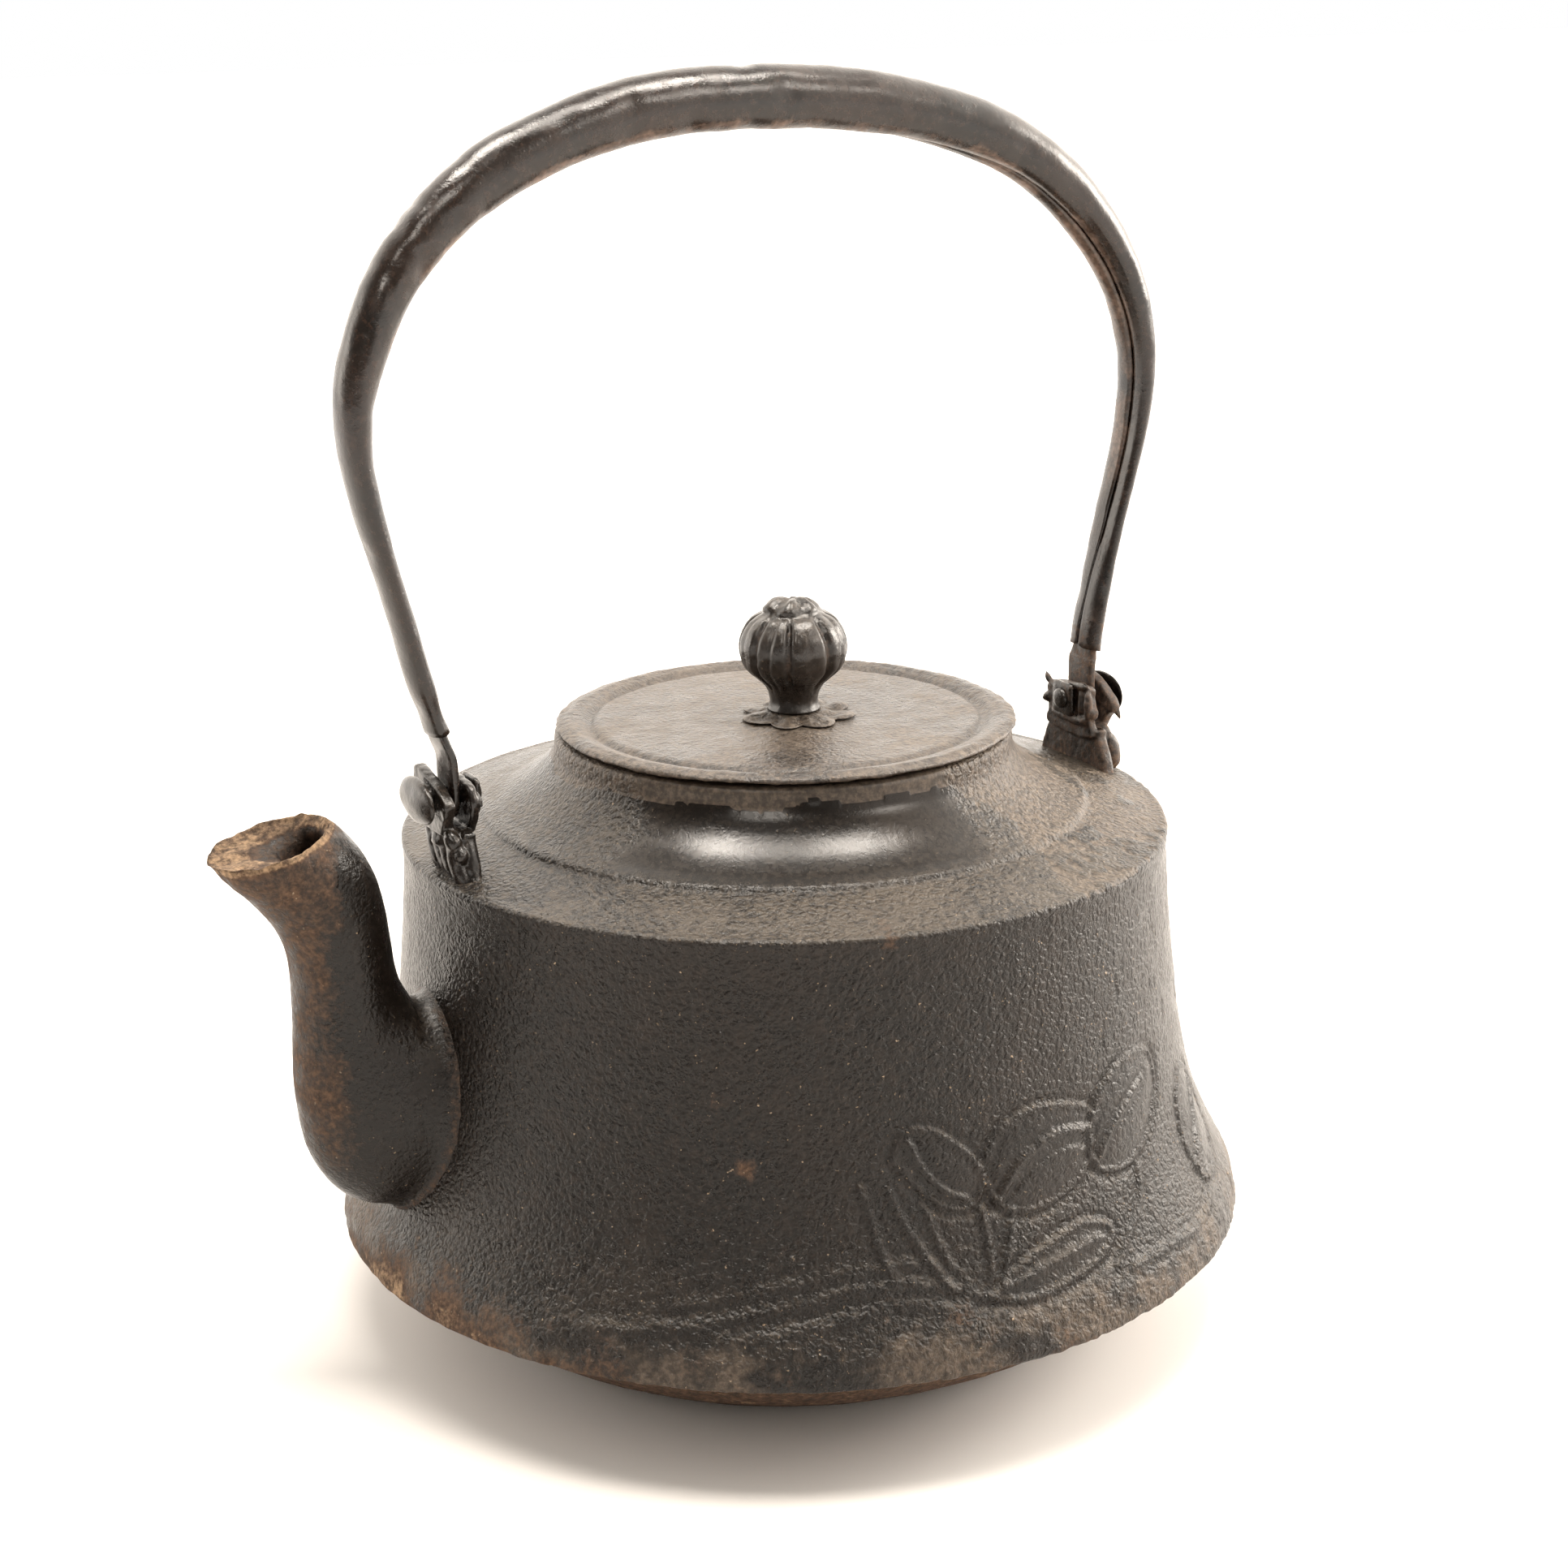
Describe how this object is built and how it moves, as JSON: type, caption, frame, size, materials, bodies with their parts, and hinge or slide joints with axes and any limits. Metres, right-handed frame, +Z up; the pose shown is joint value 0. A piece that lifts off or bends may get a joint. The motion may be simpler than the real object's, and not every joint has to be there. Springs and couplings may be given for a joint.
{
  "type": "cast iron kettle",
  "caption": "Hollow flared cast iron kettle with a curved spout, a lift-off lid with a ribbed knob, and a hollow bail that swings on two pinned lugs.",
  "frame": {"origin": "on the body's axis, at the flat underside of the base that the kettle stands on", "axes": "+Z up along the body's axis; -X towards the spout; the bail's pivot line runs along X"},
  "size_m": [0.1944, 0.17, 0.227],
  "materials": {
    "body_iron": "matt dark brown-black cast iron with a fine wrinkled skin, worn taupe on the shoulder",
    "pan_iron": "matt rusty cast iron",
    "spout_iron": "matt cast iron, rusted towards the mouth",
    "lid_iron": "satin taupe-brown cast iron",
    "knob_iron": "semi-gloss dark cast iron",
    "bail_iron": "semi-gloss dark brown wrought iron",
    "lug_iron": "satin dark wrought iron"
  },
  "bodies": {
    "kettle": {"kettle_body": "body_iron", "bottom_pan": "pan_iron", "spout": "spout_iron", "front_lug": "lug_iron", "rear_lug": "lug_iron", "front_pivot_pin": "lug_iron", "rear_pivot_pin": "lug_iron", "front_pin_burr": "lug_iron", "rear_pin_burr": "lug_iron"},
    "bail": {"bail_tube": "bail_iron", "front_bail_tongue": "bail_iron", "rear_bail_tongue": "bail_iron"},
    "lid": {"lid": "lid_iron", "lid_knob": "knob_iron", "knob_washer": "lid_iron", "knob_burr_washer": "knob_iron"}
  },
  "joints": [
    {"name": "bail_swing", "type": "hinge", "parent": "kettle", "child": "bail", "pos_m": [0, 0, 0.106], "axis": [1, 0, 0], "range_deg": [-90, 90]},
    {"name": "lid_lift", "type": "slide", "parent": "kettle", "child": "lid", "axis": [0, 0, 1], "range_m": [0, 0.07]}
  ]
}
